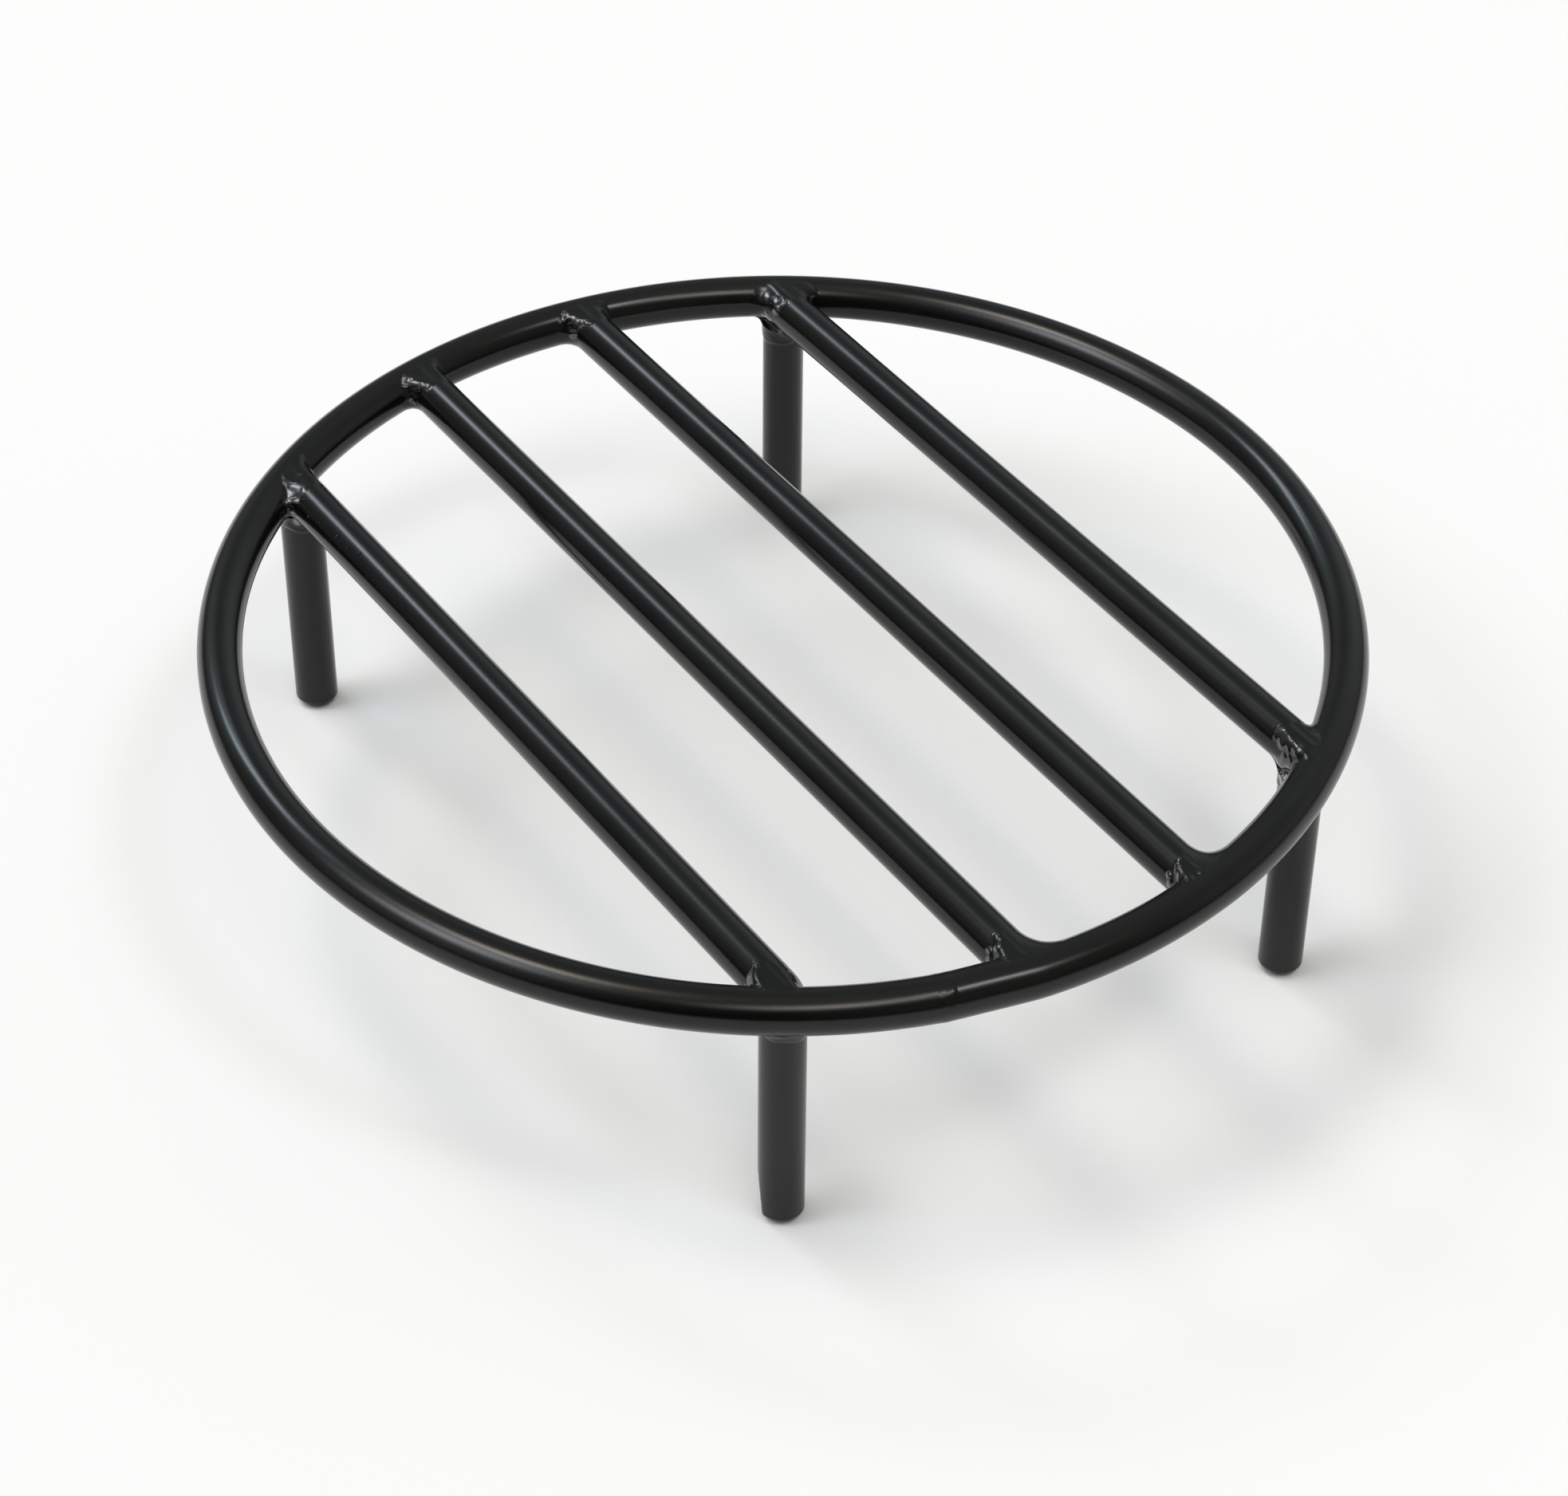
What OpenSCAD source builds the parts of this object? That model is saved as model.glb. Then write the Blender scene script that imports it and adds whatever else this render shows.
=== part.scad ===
// Round log grate: a ring rolled from round steel bar, four straight bars across it in its own
// plane and four short legs under it, all welded together.
// Millimetres, +Z up, bars along Y, front at -Y. The origin lies on the floor under the ring's centre.

/* [Ring] */
// Outside diameter of the ring
ring_od = 330.2; // [300:0.1:400]
// Diameter of the round bar that the ring is rolled from
ring_rod_d = 12.7; // [10:0.1:15]
// Bearing of the seam where the ring's two ends meet, anticlockwise from +X
seam_bearing = -109; // [-114:0.5:-106]
// Width of the weld that closes the ring at its seam
seam_width = 3; // [1.5:0.1:5]
// Height of the dressed seam weld above the bar around it
seam_crown = 0.15; // [0.05:0.05:0.6]

/* [Bars] */
// Diameter of the four bars that cross the ring
bar_rod_d = 12.7; // [10:0.1:15]
// Distance between neighbouring bars, centre to centre
bar_pitch = 57.15; // [48:0.05:64]

/* [Legs] */
// Diameter of the four legs
leg_rod_d = 12.7; // [10:0.1:15]
// Length of a leg, from its foot to its square top
leg_len = 73; // [45:0.5:120]
// Distance of a leg's axis inside the ring's centreline, measured along its bar
leg_inset = 6.35; // [4:0.05:9]
// Chamfer around the foot of a leg
foot_chamfer = 2.5; // [0.5:0.1:4]

/* [Welds] */
// Gap left at each bar end and leg top, which weld metal fills
root_gap = 0.4; // [0.3:0.05:1]
// Thickness of a weld's edge, where it stops on a bar or a leg
toe_step = 0.3; // [0.2:0.05:0.8]
// Length of a bar weld along the bar, from the bar's cut end
bar_weld_len = 3.5; // [2:0.1:6]
// Height of a bar weld's side above the bar, where it meets the ring
bar_weld_side = 3; // [1.5:0.1:5]
// Height of a bar weld above the top of the bar
bar_weld_crown = 0.3; // [0.1:0.05:1]
// Distance that a bar weld laps over the ring, from the ring's inner side
bar_weld_lap = 4; // [2:0.1:4.5]
// Length of a leg weld down the leg, from the leg's top
leg_weld_len = 3; // [2:0.1:6]
// Height of a leg weld's side above the leg, level with the leg's top
leg_weld_side = 1.8; // [1:0.1:3]
// Height of a leg weld above the leg's top, up the sides of the ring and the bar
leg_weld_rise = 3; // [1:0.1:5]

/* [Hidden] */

// Facets of a small circle, and of one as large as the ring
$fn = 96;
ring_fn = 480;

// Radii of the three round bars and of the ring's centreline
ring_rod_r = ring_rod_d / 2;
bar_r = bar_rod_d / 2;
leg_r = leg_rod_d / 2;
ring_r = ring_od / 2 - ring_rod_r;
ring_inner_r = ring_r - ring_rod_r;

// The ring and the bars share one plane, and the legs stop a root gap under the thicker of them
deck_z = leg_len + root_gap + max(ring_rod_r, bar_r);

// The bars' places across the ring
inner_x = bar_pitch / 2;
outer_x = bar_pitch * 3 / 2;

// A leg stands under an outer bar, where the bar meets the ring
leg_y = sqrt(ring_r ^ 2 - outer_x ^ 2) - leg_inset;

// The welds lap over the ring as far as this radius, and end on it with a toe
lap_r = ring_inner_r + bar_weld_lap;
lap_z = sqrt(ring_rod_r ^ 2 - (ring_r - lap_r) ^ 2) + toe_step;

// Arc that the seam weld takes out of the ring
seam_arc = 2 * asin(seam_width / 2 / ring_r);

STEEL = [0.05, 0.05, 0.05];
WELD = [0.12, 0.12, 0.12];

// Where a square-cut bar at x stops: its outer edge is a root gap short of the ring
function bar_end_y(x) = sqrt(ring_inner_r ^ 2 - (abs(x) + bar_r) ^ 2) - root_gap;

// How far the ring then lies from the cut end, at the bar's other edge
function bar_end_gap(x) = sqrt(ring_inner_r ^ 2 - (abs(x) - bar_r) ^ 2) - bar_end_y(x);

// A stretch of the round ring, starting at a bearing
module ring_stretch(bearing, arc, rod_r)
    translate([0, 0, deck_z])
        rotate([0, 0, bearing])
            rotate_extrude(angle = arc, $fn = ring_fn)
                translate([ring_r, 0]) circle(r = rod_r);

// The closed ring, for cutting the welds to its surface
module whole_ring() ring_stretch(0, 360, ring_rod_r);

// A straight bar across the ring, cut square at both ends
module bar_rod(x)
    translate([x, -bar_end_y(x), deck_z])
        rotate([-90, 0, 0]) cylinder(r = bar_r, h = 2 * bar_end_y(x));

// A leg's round bar, before its foot is chamfered
module leg_rod(side, end)
    translate([side * outer_x, end * leg_y, 0]) cylinder(r = leg_r, h = leg_len);

// Height to which weld metal may stand, as a disc that tapers down on to the ring
module weld_level()
    translate([0, 0, deck_z])
        rotate_extrude($fn = ring_fn)
            polygon([
                [0, -bar_r - bar_weld_crown], [ring_inner_r, -bar_r - bar_weld_crown], [lap_r, -lap_z],
                [lap_r, lap_z], [ring_inner_r, bar_r + bar_weld_crown], [0, bar_r + bar_weld_crown]
            ]);

// Weld metal around the cut end of the bar at x, before the ring is cut away
module bar_weld_blank(x, end)
    intersection() {
        translate([x, end * bar_end_y(x), deck_z])
            rotate([-90 * end, 0, 0])
                rotate_extrude()
                    polygon([
                        [bar_r, -bar_weld_len], [bar_r + toe_step, -bar_weld_len],
                        [bar_r + bar_weld_side, bar_end_gap(x)],
                        [bar_r + bar_weld_side, ring_r - bar_end_y(x)], [0, ring_r - bar_end_y(x)],
                        [0, 0], [bar_r, 0]
                    ]);
        weld_level();
    }

// Weld metal around the top of a leg, before the ring, the bar and its weld are cut away
module leg_weld_blank(side, end)
    translate([side * outer_x, end * leg_y, leg_len])
        rotate_extrude()
            polygon([
                [leg_r, -leg_weld_len], [leg_r + toe_step, -leg_weld_len],
                [leg_r + leg_weld_side, 0], [leg_r + toe_step, leg_weld_rise],
                [0, leg_weld_rise], [0, 0], [leg_r, 0]
            ]);

// The ring, open at its seam
module ring()
    color(STEEL) ring_stretch(seam_bearing + seam_arc / 2, 360 - seam_arc, ring_rod_r);

// The weld that closes the ring
module ring_seam_weld()
    color(WELD) ring_stretch(seam_bearing - seam_arc / 2, seam_arc, ring_rod_r + seam_crown);

// One of the four bars
module bar(x)
    color(STEEL) bar_rod(x);

// One of the four legs, with its chamfered foot
module leg(side, end)
    color(STEEL)
        translate([side * outer_x, end * leg_y, 0])
            union() {
                cylinder(r1 = leg_r - foot_chamfer, r2 = leg_r, h = foot_chamfer);
                translate([0, 0, foot_chamfer]) cylinder(r = leg_r, h = leg_len - foot_chamfer);
            }

// The weld between the ring and one end of an inner bar
module inner_bar_weld(side, end)
    color(WELD)
        difference() {
            bar_weld_blank(side * inner_x, end);
            whole_ring();
        }

// The weld between the ring and one end of an outer bar, clear of the leg below it
module outer_bar_weld(side, end)
    color(WELD)
        difference() {
            bar_weld_blank(side * outer_x, end);
            whole_ring();
            leg_rod(side, end);
        }

// The weld between a leg and the ring and bar above it
module leg_weld(side, end)
    color(WELD)
        difference() {
            leg_weld_blank(side, end);
            whole_ring();
            bar_rod(side * outer_x);
            bar_weld_blank(side * outer_x, end);
        }

ring();
ring_seam_weld();
bar(-outer_x);  // bar_left_outer
bar(-inner_x);  // bar_left_inner
bar(inner_x);  // bar_right_inner
bar(outer_x);  // bar_right_outer
leg(-1, 1);  // leg_rear_left
leg(-1, -1);  // leg_front_left
leg(1, 1);  // leg_rear_right
leg(1, -1);  // leg_front_right
outer_bar_weld(-1, 1);  // weld_rear_left_outer
inner_bar_weld(-1, 1);  // weld_rear_left_inner
inner_bar_weld(1, 1);  // weld_rear_right_inner
outer_bar_weld(1, 1);  // weld_rear_right_outer
outer_bar_weld(-1, -1);  // weld_front_left_outer
inner_bar_weld(-1, -1);  // weld_front_left_inner
inner_bar_weld(1, -1);  // weld_front_right_inner
outer_bar_weld(1, -1);  // weld_front_right_outer
leg_weld(-1, 1);  // leg_weld_rear_left
leg_weld(-1, -1);  // leg_weld_front_left
leg_weld(1, 1);  // leg_weld_rear_right
leg_weld(1, -1);  // leg_weld_front_right
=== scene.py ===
import math

import bpy
import numpy as np
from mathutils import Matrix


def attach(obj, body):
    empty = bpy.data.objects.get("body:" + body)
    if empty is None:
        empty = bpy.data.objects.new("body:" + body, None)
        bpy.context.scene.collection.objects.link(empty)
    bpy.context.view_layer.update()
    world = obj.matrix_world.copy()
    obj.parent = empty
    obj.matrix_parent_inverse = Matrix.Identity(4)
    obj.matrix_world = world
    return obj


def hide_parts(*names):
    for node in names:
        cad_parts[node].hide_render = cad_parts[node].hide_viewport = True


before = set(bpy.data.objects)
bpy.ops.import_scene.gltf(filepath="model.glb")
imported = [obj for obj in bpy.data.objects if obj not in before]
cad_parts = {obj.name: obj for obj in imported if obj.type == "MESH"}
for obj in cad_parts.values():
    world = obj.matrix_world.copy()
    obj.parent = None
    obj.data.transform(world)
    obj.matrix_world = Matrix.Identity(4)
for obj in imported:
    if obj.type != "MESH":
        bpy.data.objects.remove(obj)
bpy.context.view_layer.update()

import openvdb
from mathutils import Matrix, Vector

# ------------------------------------------------------------------------------------------------
# The ring: a length of 12.7 mm round steel bar, rolled cold until its two ends face each other.
# The rolls left a short straight run just past the seam. All the steel of the grate is dipped in
# powder and baked, which gives it a black satin skin with a fine orange peel.
# ------------------------------------------------------------------------------------------------
RING_RADIUS = 0.15875                # of the ring's centreline, in metres
ROD_RADIUS = 0.00635                 # of all the round bar in the grate
DECK = 0.07975                       # height of the ring's centreline and of the bars' axes
SEAM = math.radians(-109)            # bearing of the seam, anticlockwise from +X
SEAM_GAP = 0.003                     # between the ring's two ends, filled by the seam weld
STRAIGHT = math.radians(-104.5)      # bearing of the middle of the straight run
STRAIGHT_HALF = math.radians(4.3)    # half the bearing that the straight run takes up
STRAIGHT_BLEND = 0.0003              # softens the change from straight to round
LEAST_COSINE = 0.1                   # keeps the straight run's chord from growing without end
RING_STEPS = 600
ROD_SIDES = 64
WALL_CORNERS = 4                     # of a face on a rod's wall; a rod's cut end has many more


class Wire:
    """An output of a node. Arithmetic on it adds Math nodes to the same tree."""

    def __init__(self, nodes, node, output):
        self.nodes, self.node = nodes, node
        self.socket = node.outputs[output] if node.outputs else None

    def out(self, output):
        return Wire(self.nodes, self.node, output)

    def math(self, operation, *values):
        return self.nodes.add("ShaderNodeMath", {"operation": operation}, dict(enumerate(values)))

    def __add__(self, other):
        return self.math("ADD", self, other)

    def __sub__(self, other):
        return self.math("SUBTRACT", self, other)

    def __rsub__(self, other):
        return self.math("SUBTRACT", other, self)

    def __mul__(self, other):
        return self.math("MULTIPLY", self, other)

    def __truediv__(self, other):
        return self.math("DIVIDE", self, other)

    def __rtruediv__(self, other):
        return self.math("DIVIDE", other, self)

    def __pow__(self, power):
        return self.math("POWER", self, power)

    def __neg__(self):
        return self.math("MULTIPLY", self, -1)

    __radd__, __rmul__ = __add__, __mul__


class Nodes:
    """A node tree that is being built, for a surface, for the room's light or for a shape."""

    def __init__(self, tree):
        self.tree = tree
        tree.nodes.clear()

    def add(self, kind, settings=None, inputs=None, output=0):
        """A new node of that kind: its settings first, then the value or the wire of each input."""
        node = self.tree.nodes.new(kind)
        for name, value in (settings or {}).items():
            setattr(node, name, value)
        for name, value in (inputs or {}).items():
            if isinstance(value, Wire):
                self.tree.links.new(value.socket, node.inputs[name])
            else:
                node.inputs[name].default_value = value
        return Wire(self, node, output)

    def vector(self, operation, *values, output=0):
        settings = {"operation": operation}
        return self.add("ShaderNodeVectorMath", settings, dict(enumerate(values)), output)

    def scaled(self, arrow, scale):
        """A vector or a colour made longer or brighter."""
        inputs = {0: arrow, "Scale": scale}
        return self.add("ShaderNodeVectorMath", {"operation": "SCALE"}, inputs)

    def joined(self, **parts):
        """A vector from its X, Y and Z."""
        return self.add("ShaderNodeCombineXYZ", None, parts)

    def noise(self, place, scale, detail=2.0, roughness=0.5):
        inputs = {"Vector": place, "Scale": scale, "Detail": detail, "Roughness": roughness}
        return self.add("ShaderNodeTexNoise", None, inputs)

    def blend(self, factor, first, second):
        """Colour between two colours."""
        return self.add("ShaderNodeMix", {"data_type": "RGBA"}, {0: factor, 6: first, 7: second}, 2)

    def ramp(self, value, low, high):
        """0 below low, 1 above high and smooth between them."""
        inputs = {"Value": value, "From Min": low, "From Max": high}
        return self.add("ShaderNodeMapRange", {"interpolation_type": "SMOOTHSTEP"}, inputs)


# The coat: its two blacks, how closely its markings lie (to the metre), how far they change its
# roughness, the height of its grain in metres, and how strongly it and its gloss bend light
DEEP_BLACK, PALER_BLACK = (0.0022, 0.0024, 0.0022, 1), (0.0036, 0.0038, 0.0035, 1)
CLOUDS, PEEL, GRAIN = 45.0, 750.0, 2600.0
UNEVEN = 0.04
GRAIN_HEIGHT = 0.0000022
SATIN_IOR, GLOSS_IOR, GLOSS_ROUGHNESS = 1.40, 1.6, 0.12


def coated_steel(name, satin_level, peel_height):
    """Black powder coat on steel. The welds' own meshes say, in their attribute bead, where weld
    metal was left as it ran: the powder pooled and flowed out to a gloss there."""
    material = bpy.data.materials.new(name)
    material.use_nodes = True
    nodes = Nodes(material.node_tree)
    place = nodes.add("ShaderNodeTexCoord", output="Object")
    bead = nodes.add("ShaderNodeAttribute", {"attribute_name": "bead"}, output="Fac")
    cloud = nodes.noise(place, CLOUDS, detail=3.0)
    peel = nodes.noise(place, PEEL, detail=1.0)
    grain = nodes.noise(place, GRAIN, detail=2.0, roughness=0.7)
    black = nodes.blend(nodes.ramp(cloud, 0.35, 0.65), DEEP_BLACK, PALER_BLACK)
    satin = satin_level + UNEVEN * (cloud - 0.5) + UNEVEN * (grain - 0.5)
    height = peel_height * peel + GRAIN_HEIGHT * grain
    bump = nodes.add("ShaderNodeBump", None, {"Height": height, "Distance": 1.0, "Strength": 1.0})
    inputs = {"Base Color": black, "Roughness": satin, "Normal": bump, "IOR": SATIN_IOR,
              "Coat Weight": bead, "Coat Roughness": GLOSS_ROUGHNESS, "Coat IOR": GLOSS_IOR}
    shader = nodes.add("ShaderNodeBsdfPrincipled", None, inputs)
    nodes.add("ShaderNodeOutputMaterial", None, {"Surface": shader})
    return material


coat = coated_steel("satin_black_coat", satin_level=0.175, peel_height=0.000010)


def shape_tree(name, sizes):
    """A geometry tree with one named input for each size, and its Nodes."""
    tree = bpy.data.node_groups.new(name, "GeometryNodeTree")
    nodes = Nodes(tree)
    tree.interface.new_socket("Geometry", in_out="INPUT", socket_type="NodeSocketGeometry")
    for size, kind in sizes.items():
        tree.interface.new_socket(size, in_out="INPUT", socket_type="NodeSocket" + kind)
    tree.interface.new_socket("Geometry", in_out="OUTPUT", socket_type="NodeSocketGeometry")
    return nodes, nodes.add("NodeGroupInput")


def close_tree(nodes, shape, material):
    """Ends a geometry tree as one real mesh with its coat."""
    real = nodes.add("GeometryNodeRealizeInstances", None, {0: shape})
    dressed = nodes.add("GeometryNodeSetMaterial", None, {0: real, "Material": material})
    nodes.add("NodeGroupOutput", None, {0: dressed})
    return nodes.tree


def grow(name, tree, sizes):
    """The plain mesh object that a geometry tree makes from its sizes."""
    piece = bpy.data.objects.new(name, bpy.data.meshes.new(name + "_start"))
    modifier = piece.modifiers.new("shape", "NODES")
    modifier.node_group = tree
    for item in tree.interface.items_tree:
        if item.in_out == "INPUT" and item.name in sizes:
            modifier[item.identifier] = sizes[item.name]
    bpy.context.scene.collection.objects.link(piece)
    shaped = piece.evaluated_get(bpy.context.evaluated_depsgraph_get())
    mesh = bpy.data.meshes.new_from_object(shaped)
    piece.modifiers.remove(modifier)
    piece.data = mesh
    mesh.name = name
    return piece


def swept_round(nodes, path, radius):
    """Round bar along a path. Its flat ends stay sharp."""
    inputs = {"Resolution": ROD_SIDES, "Radius": 1.0}
    outline = nodes.add("GeometryNodeCurvePrimitiveCircle", None, inputs)
    inputs = {"Curve": path, "Profile Curve": outline, "Scale": radius, "Fill Caps": True}
    bar = nodes.add("GeometryNodeCurveToMesh", None, inputs)
    corners = nodes.add("GeometryNodeInputMeshFaceNeighbors")
    on_wall = corners.math("LESS_THAN", corners, WALL_CORNERS + 1)
    return nodes.add("GeometryNodeSetShadeSmooth", None, {0: bar, "Shade Smooth": on_wall})


nodes, size = shape_tree("Rolled ring", {
    "Ring radius": "Float", "Rod radius": "Float", "Height": "Float", "Seam bearing": "Float",
    "Seam gap": "Float", "Straight bearing": "Float", "Straight half angle": "Float"})
ring_radius = size.out("Ring radius")
gap_angle = size.out("Seam gap") / ring_radius
turn = nodes.add("GeometryNodeCurveArc", {"mode": "RADIUS"}, {
    "Resolution": RING_STEPS, "Radius": ring_radius,
    "Start Angle": size.out("Seam bearing") + gap_angle * 0.5,
    "Sweep Angle": 2 * math.pi - gap_angle}, "Curve")
place = nodes.add("GeometryNodeInputPosition")
flat_place = nodes.add("ShaderNodeSeparateXYZ", None, {0: place})
bearing = flat_place.math("ARCTAN2", flat_place.out("Y"), flat_place.out("X"))
off_straight = bearing - size.out("Straight bearing")
off_straight = off_straight.math("COSINE", off_straight)
half = size.out("Straight half angle")
chord = ring_radius * half.math("COSINE", half)
chord = chord / off_straight.math("MAXIMUM", off_straight, LEAST_COSINE)
pull = chord.math("SMOOTH_MIN", chord, ring_radius, STRAIGHT_BLEND) / ring_radius
rolled = nodes.scaled(place, pull)
rolled = nodes.add("GeometryNodeSetPosition", None, {0: turn, "Position": rolled})
lift = nodes.joined(Z=size.out("Height"))
rolled = nodes.add("GeometryNodeSetPosition", None, {0: rolled, "Offset": lift})
ring_tree = close_tree(nodes, swept_round(nodes, rolled, size.out("Rod radius")), coat)
ring = grow("rolled_ring", ring_tree, {
    "Ring radius": RING_RADIUS, "Rod radius": ROD_RADIUS, "Height": DECK, "Seam bearing": SEAM,
    "Seam gap": SEAM_GAP, "Straight bearing": STRAIGHT, "Straight half angle": STRAIGHT_HALF})
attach(ring, "root")
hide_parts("ring")

# ------------------------------------------------------------------------------------------------
# The four bars that carry the logs: straight lengths of the same round bar, sawn square and laid
# across the ring in its own plane, where each end is welded to the ring's inner side.
# ------------------------------------------------------------------------------------------------
INNER, OUTER = 0.028575, 0.085725    # how far the inner and the outer bars lie from the middle
BAR_PLACES = {
    "left_outer": -OUTER, "left_inner": -INNER, "right_inner": INNER, "right_outer": OUTER}
ROOT_GAP = 0.0004                    # left at each sawn end, and filled by its weld
BAR_STEPS = 90

nodes, size = shape_tree("Sawn bar", {
    "Rod radius": "Float", "Half length": "Float", "Across": "Float", "Height": "Float"})
across, long, high = size.out("Across"), size.out("Half length"), size.out("Height")
front = nodes.joined(X=across, Y=-long, Z=high)
rear = nodes.joined(X=across, Y=long, Z=high)
line = nodes.add("GeometryNodeCurvePrimitiveLine", None, {"Start": front, "End": rear})
line = nodes.add("GeometryNodeResampleCurve", None, {"Curve": line, "Count": BAR_STEPS})
bar_tree = close_tree(nodes, swept_round(nodes, line, size.out("Rod radius")), coat)
for name, across in BAR_PLACES.items():
    inner_side = RING_RADIUS - ROD_RADIUS
    sawn = math.sqrt(inner_side ** 2 - (abs(across) + ROD_RADIUS) ** 2) - ROOT_GAP
    bar = grow("cross_bar_" + name, bar_tree, {
        "Rod radius": ROD_RADIUS, "Half length": sawn, "Across": across, "Height": DECK})
    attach(bar, "root")
    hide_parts("bar_" + name)

# ------------------------------------------------------------------------------------------------
# The four legs: short upright lengths of the same bar, welded under the ring where the outer bars
# reach it. The rim of each foot is ground round. The front left foot was nicked by the grinder.
# ------------------------------------------------------------------------------------------------
LEG_LENGTH = 0.073
LEG_Y = 0.127264
FOOT_ROUND = 0.0025
NICK_HEIGHT = 0.018                  # above the floor, where the nick runs out
NICK_SIDE = (-0.80, 0.60, 0.0)
NICK_SCORES = 420.0                  # the grinder's marks in the nick, to the metre
LEG_PLACES = {                       # across, along, and the depth of the grinder's nick
    "rear_left": (-OUTER, LEG_Y, 0.0), "front_left": (-OUTER, -LEG_Y, 0.0017),
    "rear_right": (OUTER, LEG_Y, 0.0), "front_right": (OUTER, -LEG_Y, 0.0)}
LEG_STEPS = 70
FOOT_CROWDING = 2.2                  # packs a leg's steps towards its foot

nodes, size = shape_tree("Leg", {
    "Rod radius": "Float", "Length": "Float", "Foot round": "Float", "Place": "Vector",
    "Nick depth": "Float", "Nick side": "Vector"})
line = nodes.add("GeometryNodeCurvePrimitiveLine", None, {"Start": (0, 0, 0), "End": (0, 0, 1)})
line = nodes.add("GeometryNodeResampleCurve", None, {"Curve": line, "Count": LEG_STEPS})
place = nodes.add("GeometryNodeInputPosition")
share = nodes.add("ShaderNodeSeparateXYZ", None, {0: place}, "Z")
spread = nodes.joined(Z=share ** FOOT_CROWDING * size.out("Length"))
line = nodes.add("GeometryNodeSetPosition", None, {0: line, "Position": spread})
place = nodes.add("GeometryNodeInputPosition")
up = nodes.add("ShaderNodeSeparateXYZ", None, {0: place}, "Z")
below = size.out("Foot round") - up
below = below.math("MAXIMUM", below, 0.0)
leg = swept_round(nodes, line, size.out("Rod radius") - below)
place = nodes.add("GeometryNodeInputPosition")
side = nodes.vector("DOT_PRODUCT", place, size.out("Nick side"), output="Value")
face = size.out("Rod radius") - size.out("Nick depth") * (1 - up / NICK_HEIGHT)
bite = side - face
scores = 0.9 + 0.2 * nodes.noise(place, NICK_SCORES)
bite = bite.math("MAXIMUM", bite, 0.0) * scores
shift = nodes.scaled(size.out("Nick side"), -bite)
leg = nodes.add("GeometryNodeSetPosition", None, {0: leg, "Offset": shift})
leg = nodes.add("GeometryNodeSetPosition", None, {0: leg, "Offset": size.out("Place")})
leg_tree = close_tree(nodes, leg, coat)
for name, (x, y, nick) in LEG_PLACES.items():
    leg = grow("upright_leg_" + name, leg_tree, {
        "Rod radius": ROD_RADIUS, "Length": LEG_LENGTH, "Foot round": FOOT_ROUND,
        "Place": (x, y, 0.0), "Nick depth": nick, "Nick side": NICK_SIDE})
    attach(leg, "root")
    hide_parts("leg_" + name)

# ------------------------------------------------------------------------------------------------
# The welds at the bars' ends: weld metal that fills each corner between bar and ring. The tops are
# ground flush, at the rear well into the right corner too. The left flanks are left as the metal
# ran, lumpy and glossy under the coat.
# ------------------------------------------------------------------------------------------------
weld_coat = coated_steel("weld_black_coat", satin_level=0.165, peel_height=0.000011)

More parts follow.
